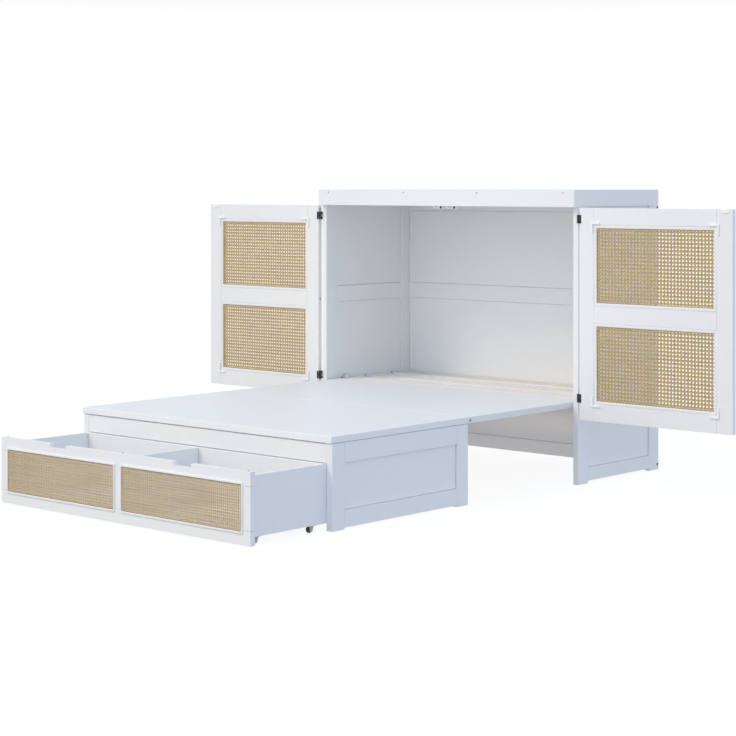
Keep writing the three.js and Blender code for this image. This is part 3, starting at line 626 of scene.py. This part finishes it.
# Slats across the cabinet. The first one is notched for the straps of the platform.
slatSet = {
    "ease": 0.003,
    "notch": 0.050,
    "room": 0.0005,
    # The first two slats' tops are painted paler as painted light; the third keeps the plain wood
    # tone
    "faces": {"slat_1": wood["slatTopPaintedLight1"], "slat_2": wood["slatTopPaintedLight2"],
              "slat_3": wood["woodAcross"]},
    "edge": wood["slatEdgePaintedHighlight"],
    "edgeTilt": 0.9,  # faces that look along the bed by more than this are edges
}


def buildSlats(s):
    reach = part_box("platform_middle_panel")[1].x + s["room"]
    for name, face in s["faces"].items():
        low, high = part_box(name)
        front, rear = low.y, high.y
        if name == "slat_1":
            back = front + s["notch"]
            outline = [(-reach, front), (reach, front), (reach, back), (high.x, back),
                       (high.x, rear), (low.x, rear), (low.x, back), (-reach, back)]
        else:
            outline = boxOutline(low.x, high.x, front, rear)
        piece = boardPiece("slatBoard_" + name[-1], [("z", outline, low.z, high.z)], "cabinet",
                           s["ease"], [name], face)
        # Faces that look along the bed take the paler finish: a painted highlight
        piece.data.materials.append(s["edge"])
        for polygon in piece.data.polygons:
            polygon.material_index = int(abs(polygon.normal.y) > s["edgeTilt"])


buildSlats(slatSet)
print("slats built")


# Push latches under the header: a housing bored for the plunger, broad in front, with a
# dark plate on its end
latchSet = {
    "front": 0.038,
    "frontDepth": 0.0125,
    "ease": 0.0010,
    "bore": 0.0043,
    "boreDepth": 0.036,
    "boreSteps": 20,
    "slit": 5,  # degrees to each side of the bore's top, where the outline is cut open
    "plate": 0.0006,
    "plateSink": 0.0002,
    "plateMargin": 0.0012,
    "plateEase": 0.0002,
}


def boredOutline(x0, x1, z0, z1, middle, axis, s):
    radius, slit = s["bore"], s["slit"]
    across = radius * math.sin(math.radians(slit))
    return ([(x0, z0), (x1, z0), (x1, z1), (middle + across, z1)]
            + arcPoints(middle, axis, radius, 90 - slit, slit - 270, s["boreSteps"])
            + [(middle - across, z1), (x0, z1)])


def buildLatch(name, s):
    low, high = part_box("latch_body_" + name)
    pinLow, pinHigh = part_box("latch_plunger_" + name)
    middle = (low.x + high.x) / 2
    bore = (middle, (pinLow.z + pinHigh.z) / 2, s)
    left, right = middle - s["front"] / 2, middle + s["front"] / 2
    step, back = low.y + s["frontDepth"], low.y + s["boreDepth"]
    boards = [
        ("y", boredOutline(left, right, low.z, high.z, *bore), low.y, step),
        ("y", boredOutline(low.x, high.x, low.z, high.z, *bore), step, back),
        ("y", boxOutline(low.x, high.x, low.z, high.z), back, high.y),
    ]
    boardPiece("latchHousing_" + name, boards, "cabinet", s["ease"], ["latch_body_" + name],
               plain["whitePlastic"])
    margin = s["plateMargin"]
    plate = squareBoards("y", low.y + margin, step - margin, [
        (right - s["plateSink"], right + s["plate"], low.z + margin, high.z - margin),
    ])
    boardPiece("latchCap_" + name, plate, "cabinet", s["plateEase"], (), plain["darkEndPlate"])


for side in sideSigns:
    buildLatch(side, latchSet)
print("latches built")


# Base sides: legs with rails between them, and the ridge the platform lies on
baseSet = {
    "leg": 0.065,
    "topRail": 0.072,
    "bottomRail": (0.0067, 0.070),
    "ridge": 0.014,
    "ridgeRise": 0.0007,
    "ridgeEnd": 0.0325,  # from the end of the side to the end of the ridge
    "joint": 0.0007,
    "ease": 0.0009,
}


def buildBaseSides(s):
    for name in sideSigns:
        low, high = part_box("base_side_frame_" + name)
        boardTop = high.z - s["ridgeRise"]
        front, rear = low.y, high.y
        inner = (front + s["leg"], rear - s["leg"])
        between = (inner[0] + s["joint"], inner[1] - s["joint"])
        middle, half = (low.x + high.x) / 2, s["ridge"] / 2
        boards = squareBoards("x", low.x, high.x, [
            (front, inner[0], 0, boardTop),
            (inner[1], rear, 0, boardTop),
            (*between, boardTop - s["topRail"], boardTop),
            (*between, *s["bottomRail"]),
        ])
        boards += squareBoards("x", middle - half, middle + half, [
            (front + s["ridgeEnd"], rear - s["ridgeEnd"], boardTop, high.z),
        ])
        boardPiece("baseSide_" + name, boards, "base", s["ease"], ["base_side_frame_" + name])


def buildBasePanels(s, panels):
    for name in sideSigns:
        low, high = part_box("base_side_frame_" + name)
        opening = (low.y + s["leg"], high.y - s["leg"], s["bottomRail"][1],
                   high.z - s["ridgeRise"] - s["topRail"])
        buildPanel("base_side_panel_" + name, "basePanel_" + name, "x", [opening], "base", panels)


buildBaseSides(baseSet)
buildBasePanels(baseSet, panelSet)
print("base built")


# Drawer front: long rails over and under the stiles, a raised moulding round each field
drawerSet = {
    "rail": 0.050,
    "stile": 0.048,
    "centre": 0.052,
    "gripWidth": 0.092,
    "gripDepth": 0.016,
    "gripCorner": 0.005,
    "over": 0.012,  # how far the moulding covers the boards
    "proud": 0.0064,  # from the front of the solid to the face of the boards
    "bead": 0.0075,  # the moulding's width
    "crest": 0.0040,
    "beadSeat": 0.001,  # how far its outer edge goes into the boards
    "beadReach": 0.006,  # how far its inner edge goes down into the window
    "outerLean": 0.0002,
    "outerEase": 0.0004,
    "innerEase": 0.0012,
    "recess": 0.0046,  # how far the window is cut back under the moulding
    "caneSink": 0.0012,
    "splineWidth": 0.0044,
    "splineFlat": 1.5,  # the spline's width, as times its thickness
    "splineHidden": 0.0006,
    "engaged": 0.004,  # how far the sides reach in between the sides of the base
    "joint": 0.0007,
    "ease": 0.0008,
}


def drawerFace(s):
    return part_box("drawer_front_frame")[0].y + s["proud"]


def drawerFields(s):
    low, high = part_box("drawer_front_frame")
    outer, inner = high.x - s["stile"], s["centre"] / 2
    bottom, top = low.z + s["rail"], high.z - s["rail"]
    return {"left": (-outer, -inner, bottom, top), "right": (inner, outer, bottom, top)}


# The inner edge of a rail, from left to right, cut back round each window
def notchedEdge(s, z, away):
    points = []
    for x0, x1, _, _ in sorted(drawerFields(s).values()):
        a, b = x0 - s["recess"], x1 + s["recess"]
        points += [(a, z), (a, z + away), (b, z + away), (b, z)]
    return points


def gripOutline(s, low, high, railLow, grips):
    points = ([(low.x, railLow)] + notchedEdge(s, railLow, s["recess"])
              + [(high.x, railLow), (high.x, high.z)])
    bottom, corner = high.z - s["gripDepth"], s["gripCorner"]
    for middle in sorted(grips, reverse=True):
        right, left = middle + s["gripWidth"] / 2, middle - s["gripWidth"] / 2
        points.append((right, high.z))
        points += arcPoints(right - corner, bottom + corner, corner, 0, -90)
        points += arcPoints(left + corner, bottom + corner, corner, -90, -180)
        points.append((left, high.z))
    points.append((low.x, high.z))
    return points


def buildDrawerFront(s):
    low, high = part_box("drawer_front_frame")
    face, rear = drawerFace(s), high.y
    bottom, top = low.z + s["rail"], high.z - s["rail"]
    grip, half, cut = high.x / 2, s["centre"] / 2, s["recess"]
    stiles = [(low.x, low.x + s["stile"] - cut), (cut - half, half - cut),
              (high.x - s["stile"] + cut, high.x)]
    lower = ([(low.x, low.z), (high.x, low.z), (high.x, bottom)]
             + notchedEdge(s, bottom, -cut)[::-1] + [(low.x, bottom)])
    upper = gripOutline(s, low, high, top, (-grip, grip))
    boards = [("y", lower, face, rear), ("y", upper, face, rear)]
    boards += squareBoards("y", face, rear,
                           [(a, b, bottom + s["joint"], top - s["joint"]) for a, b in stiles])
    boardPiece("drawerFront", boards, "drawer", s["ease"], ["drawer_front_frame"])


def buildDrawerMouldings(s):
    face, width = drawerFace(s), s["bead"]
    front = face - s["crest"]
    lean, outer, inner = s["outerLean"], s["outerEase"], s["innerEase"]
    profile = [(0, face + s["beadSeat"]), (lean, front + outer), (lean + outer, front),
               (width - inner, front), (width, front + inner), (width, face + s["beadReach"])]
    fields = [grown(field, s["over"]) for field in drawerFields(s).values()]
    mouldingPiece("drawerMoulding", fields, profile, "drawer", paint)


# The cane lies open over the window, with a dark spline pressed in round its edge
def buildDrawerCane(s):
    level, width = drawerFace(s) + s["caneSink"], s["splineWidth"]
    profile = stripProfile(-s["splineHidden"], width, width / s["splineFlat"], level)
    for name, field in drawerFields(s).items():
        window = grown(field, s["over"] - s["bead"])
        canePiece("drawerCane_" + name, window, level, "drawer", "drawer",
                  ["drawer_cane_panel_" + name])
        mouldingPiece("drawerSpline_" + name, [window], profile, "drawer",
                      plain["splineAndShade"], 60)


def buildDrawerSides(s):
    for name in sideSigns:
        low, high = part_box("drawer_side_" + name)
        boards = squareBoards("x", low.x, high.x, [
            (low.y, high.y + s["engaged"], low.z, high.z),
        ])
        boardPiece("drawerSide_" + name, boards, "drawer", s["ease"], ["drawer_side_" + name])


# Casters: a pressed fork that tapers to the axle and trails behind the swivel
casterSet = {
    "wheelGap": 0.0005,
    "plateGap": 0.0008,
    "plateRadius": 0.003,
    "cheek": 0.002,
    "top": (-0.006, 0.017),  # the cheek's ends along the bed, at its top
    "foot": (-0.004, 0.010),  # and at its foot
    "footLow": 0.0030,
    "footRadius": 0.005,
    "bridge": 0.0015,
    "axle": 0.0025,
    "rivet": 0.0038,
    "rivetTaper": 0.7,
    "rivetProud": 0.0010,
    "facets": 20,
    "ease": 0.0004,
}


def cheekOutline(y, top, s):
    heel, toe = s["foot"]
    r, low = s["footRadius"], s["footLow"]
    return ([(y + s["top"][0], top)]
            + arcPoints(y + heel + r, low + r, r, 180, 270, 5)
            + arcPoints(y + toe - r, low + r, r, 270, 360, 5)
            + [(y + s["top"][1], top)])


def buildCaster(name, s):
    low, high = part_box("caster_bracket_" + name)
    wheelLow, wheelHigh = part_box("caster_wheel_" + name)
    middle = (wheelLow + wheelHigh) / 2
    inner = (wheelHigh.x - wheelLow.x) / 2 + s["wheelGap"]
    outer = inner + s["cheek"]
    plateLow = wheelHigh.z + s["plateGap"]
    bridge, rivet, proud = s["bridge"], s["rivet"], s["rivetProud"]
    bm = bmesh.new()
    plate = roundOutline(low.x, high.x, low.y, high.y, s["plateRadius"])
    addPrism(bm, plate, "z", plateLow, high.z)
    for sign in (-1, 1):
        ends = sorted((middle.x + sign * inner, middle.x + sign * outer))
        addPrism(bm, cheekOutline(middle.y, plateLow + bridge / 2, s), "x", *ends)
        profile = [(0, -bridge), (rivet, -bridge), (rivet, 0), (rivet * s["rivetTaper"], proud),
                   (0, proud)]
        face = (middle.x + sign * outer, middle.y, middle.z)
        addTurned(bm, profile, face, (sign, 0, 0), s["facets"])
    profile = [(0, -outer), (s["axle"], -outer), (s["axle"], outer), (0, outer)]
    addTurned(bm, profile, middle, (1, 0, 0), s["facets"])
    piece = linkPiece("casterFork_" + name, meshFromBm("casterFork_" + name, bm), "drawer",
                      [plain["zinc"]], ["caster_bracket_" + name])
    roundEdges(piece, s["ease"])


buildDrawerFront(drawerSet)
buildDrawerMouldings(drawerSet)
buildDrawerCane(drawerSet)
buildDrawerSides(drawerSet)
for end in ("front", "rear"):
    for side in sideSigns:
        buildCaster(end + "_" + side, casterSet)
print("drawer built")


# Doors: stiles full height, rails between, a rounded bead over the edge of the cane
doorSet = {
    "stile": 0.071,
    "rail": 0.070,
    "bead": 0.013,
    "beadRise": 0.0035,
    "beadProud": 0.0004,
    "beadSink": 0.0016,
    "joint": 0.0007,
    "ease": 0.0008,
    "reedAndShade": 0.0016,  # the strip over the cut edge of the cane, as far as it shows
    "reedHidden": 0.0024,
    # The drop widens the upper strip: a painted shadow under the bead
    "paintedShadowDrop": 0.0020,  # the upper strip sits this much lower
    "reedThick": 0.0024,
    # The lining is a dark strip put as painted shade on the edge of the opening, seen through the
    # cane
    "shadeLining": 0.0020,  # the dark strip behind the cane, on the edge of the opening
    "shadeLiningSink": 0.0003,
    "shadeLiningGap": 0.0014,
    "shadeLiningStop": 0.0010,
}


def doorFields(name, s):
    low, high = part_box("door_frame_" + name)
    opening = (high.z - low.z - 3 * s["rail"]) / 2
    x0, x1 = low.x + s["stile"], high.x - s["stile"]
    lower = low.z + s["rail"]
    upper = lower + opening + s["rail"]
    return {"lower": (x0, x1, lower, lower + opening), "upper": (x0, x1, upper, upper + opening)}


def buildDoorFrame(name, s):
    low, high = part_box("door_frame_" + name)
    fields = doorFields(name, s)
    x0, x1, lowerBottom, lowerTop = fields["lower"]
    upperBottom, upperTop = fields["upper"][2:]
    between = (x0 + s["joint"], x1 - s["joint"])
    boards = squareBoards("y", low.y, high.y, [
        (low.x, x0, low.z, high.z),
        (x1, high.x, low.z, high.z),
        (*between, low.z, lowerBottom),
        (*between, lowerTop, upperBottom),
        (*between, upperTop, high.z),
    ])
    boardPiece("doorFrame_" + name, boards, "door_" + name, s["ease"], ["door_frame_" + name])
    middle, rise = (low.y + high.y) / 2, s["beadRise"]
    for kind, face, towards in (("doorBead_", low.y - s["beadProud"], rise),
                                ("doorLip_", high.y - s["beadSink"], -rise)):
        mouldingPiece(kind + name, fields.values(),
                      beadProfile(s["bead"], middle, face, towards), "door_" + name,
                      paint)


# The cane; the reed over its cut edge, dark and wider at the top as painted shade under the bead;
# and the dark lining behind it, painted shade on the edge of the opening
def buildDoorCane(name, s):
    body = "door_" + name
    caneLow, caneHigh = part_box("door_cane_" + name)
    caneY = (caneLow.y + caneHigh.y) / 2
    front, rear = caneY + s["shadeLiningGap"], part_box("door_frame_" + name)[1].y - s["shadeLiningStop"]
    reedAndShade = stripProfile(0, s["reedAndShade"] + s["reedHidden"], s["reedThick"], caneY)
    shadeLining = [(-s["shadeLiningSink"], front), (s["shadeLining"], front), (s["shadeLining"], rear),
              (-s["shadeLiningSink"], rear)]
    for label, field in doorFields(name, s).items():
        ending = "_%s_%s" % (label, name)
        shown = grown(field, -s["bead"])
        canePiece("doorCane" + ending, shown, caneY, body, "door", ["door_cane_" + name])
        x0, x1, z0, z1 = grown(shown, s["reedHidden"])
        mouldingPiece("doorReedAndShade" + ending, [(x0, x1, z0, z1 - s["paintedShadowDrop"])], reedAndShade, body,
                      plain["reedAndShade"], 60)
        mouldingPiece("doorShadeLining" + ending, [shown], shadeLining, body, plain["splineAndShade"], 30)


# White L-shaped clips on the inside of each door, at the corners of its cane
clipSet = {"arm": 0.044, "width": 0.009, "gap": 0.003, "thick": 0.005, "proud": 0.0001,
           "ease": 0.0009, "easeSteps": 3}


def buildClips(name, s, door):
    fields = doorFields(name, door)
    x0, x1, z0, _ = fields["lower"]
    z1 = fields["upper"][3]
    arm, width, gap = s["arm"], s["width"], s["gap"]
    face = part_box("door_frame_" + name)[0].y - s["proud"]
    bm = bmesh.new()
    for x, z, outX, outZ in ((x0, z0, -1, -1), (x1, z0, 1, -1), (x1, z1, 1, 1), (x0, z1, -1, 1)):
        cornerX, cornerZ = x + outX * (gap + width), z + outZ * (gap + width)
        inX, inZ = cornerX - outX * arm, cornerZ - outZ * arm
        outline = [(cornerX, cornerZ), (inX, cornerZ), (inX, cornerZ - outZ * width),
                   (cornerX - outX * width, cornerZ - outZ * width),
                   (cornerX - outX * width, inZ), (cornerX, inZ)]
        addPrism(bm, outline, "y", face - s["thick"], face)
    piece = linkPiece("doorClip_" + name, meshFromBm("doorClip_" + name, bm),
                      "door_" + name, [plain["whitePlastic"]])
    roundEdges(piece, s["ease"], s["easeSteps"])


for side in sideSigns:
    buildDoorFrame(side, doorSet)
    buildDoorCane(side, doorSet)
    buildClips(side, clipSet, doorSet)
print("doors built")


# Carried-over nodes: welded and rounded, with the finish of what they are
nodeWeld = 0.00002
nodeSet = {
    "painted_board": (paint, 0.0008),
    "pale_wood": (woodAlong, 0.0014),
    "black_metal": (plain["blackMetal"], 0.0004),
    "steel": (steelAcross, 0.0002),
    "white_plastic": (plain["whitePlastic"], 0.0005),
    "grey_plastic": (plain["greyPlastic"], 0.0004),
    "cane": (caneStrands["door"][1], 0.0002),
}


def dressNodes(s):
    slots = {part["node"]: part["material_slot"] for part in frame["record"]["subparts"]}
    for name, node in nodes.items():
        material, ease = s[slots[name]]
        if "strap" in name:  # the platform's straps are painted over
            material = paint
        if not node.data.materials:
            node.data.materials.append(material)
        for i in range(len(node.data.materials)):
            node.data.materials[i] = material
        weld = node.modifiers.new("weld", "WELD")
        weld.merge_threshold = nodeWeld
        roundEdges(node, ease)


dressNodes(nodeSet)
print("nodes dressed")


# Screw caps and small dots that the photo shows
dotSet = {
    "header": {"x": (-0.661, -0.205, 0.210, 0.665), "z": 1.207, "scale": 0.9},
    "rearEdge": {"z": (0.023, 1.143), "setback": 0.009, "scale": 1.1},
    "wall": {"y": (0.105, 0.270, 0.458), "z": 0.342, "scale": 0.7},  # behind the side's front
    "drawerTop": {"x": (-0.662, 0.011, 0.664), "setback": 0.007, "scale": 0.7},
    "doorEdge": {"z": (0.712, 1.129), "scale": 0.7},
    "seam": {"back": -0.006, "down": 0.014, "scale": 0.9},  # from the panel's rear top edge
}


def buildDots(s):
    dots = s["header"]
    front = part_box("cabinet_header_rail")[0].y
    capPiece("headerCaps", [((x, front, dots["z"]), (0, -1, 0)) for x in dots["x"]], "cabinet",
             plain["screwCap"], dots["scale"])

    # The dark dots below are painted shade, as inside a hole
    dots = s["rearEdge"]
    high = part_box("cabinet_side_frame_right")[1]
    places = [((high.x, high.y - dots["setback"], z), (1, 0, 0)) for z in dots["z"]]
    capPiece("sideCaps", places, "cabinet", plain["paintedHoleShade"], dots["scale"])

    dots = s["wall"]
    places = []
    for name, sign in sideSigns.items():
        low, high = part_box("cabinet_side_frame_" + name)
        wall = low.x if sign > 0 else high.x
        places += [((wall, low.y + y, dots["z"]), (-sign, 0, 0)) for y in dots["y"]]
    capPiece("wallCaps", places, "cabinet", plain["paintedHoleShade"], dots["scale"])

    dots = s["drawerTop"]
    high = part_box("drawer_front_frame")[1]
    places = [((x, high.y - dots["setback"], high.z), (0, 0, 1)) for x in dots["x"]]
    capPiece("drawerTopCaps", places, "drawer", plain["paintedHoleShade"], dots["scale"])

    dots = s["doorEdge"]
    low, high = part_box("door_frame_left")
    places = [((high.x, (low.y + high.y) / 2, z), (1, 0, 0)) for z in dots["z"]]
    capPiece("doorEdgeCaps", places, "door_left", plain["paintedHoleShade"], dots["scale"])

    dots = s["seam"]
    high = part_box("platform_front_panel")[1]
    place = (high.x, high.y + dots["back"], high.z - dots["down"])
    capPiece("seamCap", [(place, (1, 0, 0))], "platform_front", plain["paintedHoleShade"],
             dots["scale"])


buildDots(dotSet)
print("caps built")


# Studio: a pale floor and backdrop, a soft sky brighter on some sides, and one soft sun
studioSet = {
    "sky": [  # each part is strongest towards one side, and even all round at power 0
        {"toward": (0, 0, 1), "power": 0, "color": (0.090, 0.075, 0.060)},
        {"toward": (0, 0, 1), "power": 1, "color": (0.470, 0.640, 0.820)},
        {"toward": (-0.1, -0.95, 0.25), "power": 4, "color": (0.935, 1.000, 1.055)},
        {"toward": (1, 0, 0), "power": 1, "color": (0.257, 0.370, 0.560)},
        {"toward": (-1, 0, 0), "power": 1, "color": (0.261, 0.231, 0.216)},
        {"toward": (0, 1, 0), "power": 1, "color": (0.355, 0.264, 0.197)},
    ],
    "backdrop": (1.0, 1.0, 1.0),
    "band": (0.09, 0.17),  # the backdrop fades into the sky between these heights
    "sun": {"from": (-0.35, -0.62, 0.7), "strength": 1.0, "color": (1.0, 0.80, 0.58),
            "spread": 20},
    "floor": {"size": 30, "drop": 0.0005, "tone": 0.14, "roughness": 0.9, "glow": 0.9},
}


def addMath(tree, operation, first, second):
    node = addNode(tree, "ShaderNodeMath", {0: first}, {1: second}, operation=operation)
    return node.outputs["Value"]


def skyColor(tree, direction, parts):
    total = None
    for part in parts:
        toward = Vector(part["toward"]).normalized()
        dot = addNode(tree, "ShaderNodeVectorMath", {0: direction}, {1: toward},
                      operation="DOT_PRODUCT")
        share = addMath(tree, "MAXIMUM", dot.outputs["Value"], 0)
        share = addMath(tree, "POWER", share, part["power"])
        tinted = addNode(tree, "ShaderNodeVectorMath", {"Scale": share}, {0: part["color"]},
                         operation="SCALE")
        links = {0: total, 1: tinted.outputs["Vector"]}
        joined = addNode(tree, "ShaderNodeVectorMath", links, operation="ADD") if total else tinted
        total = joined.outputs["Vector"]
    return total


def buildWorld(s):
    world = bpy.data.worlds.new("studio")
    bpy.context.scene.world = world
    world.use_nodes = True
    tree = world.node_tree
    direction = tree.nodes.new("ShaderNodeTexCoord").outputs["Generated"]
    height = addNode(tree, "ShaderNodeSeparateXYZ", {"Vector": direction}).outputs["Z"]
    steep = addMath(tree, "ABSOLUTE", height, 0)
    fadeLow, fadeHigh = s["band"]
    fade = addNode(tree, "ShaderNodeMapRange", {"Value": steep},
                   {"From Min": fadeLow, "From Max": fadeHigh})
    sky = skyColor(tree, direction, s["sky"])
    # Input 0 is the share, and 6 and 7 are the colours
    mix = addNode(tree, "ShaderNodeMix", {0: fade.outputs["Result"], 7: sky},
                  {6: (*s["backdrop"], 1)}, data_type="RGBA")
    tree.links.new(mix.outputs[2], tree.nodes["Background"].inputs["Color"])


def buildSun(s):
    data = bpy.data.lights.new("softSun", "SUN")
    data.energy = s["strength"]
    data.angle = math.radians(s["spread"])
    data.color = s["color"]
    light = bpy.data.objects.new("softSun", data)
    bpy.context.scene.collection.objects.link(light)
    light.rotation_euler = Vector(s["from"]).to_track_quat("Z", "Y").to_euler()


def buildFloor(s):
    bm = bmesh.new()
    bmesh.ops.create_grid(bm, x_segments=2, y_segments=2, size=s["size"])
    mesh = bpy.data.meshes.new("floor")
    bm.to_mesh(mesh)
    bm.free()
    floor = bpy.data.objects.new("floor", mesh)
    bpy.context.scene.collection.objects.link(floor)
    floor.location.z = -s["drop"]
    material, _, shader = newMaterial("floor")
    shader.inputs["Base Color"].default_value = (s["tone"],) * 3 + (1,)
    shader.inputs["Roughness"].default_value = s["roughness"]
    shader.inputs["Specular IOR Level"].default_value = 0
    shader.inputs["Emission Color"].default_value = (1, 1, 1, 1)
    shader.inputs["Emission Strength"].default_value = s["glow"]
    mesh.materials.append(material)
    floor.visible_diffuse = False  # it lights nothing from below


bpy.context.scene.view_settings.view_transform = "Standard"
bpy.context.scene.view_settings.look = "None"
buildWorld(studioSet)
buildSun(studioSet["sun"])
buildFloor(studioSet["floor"])
print("studio built")
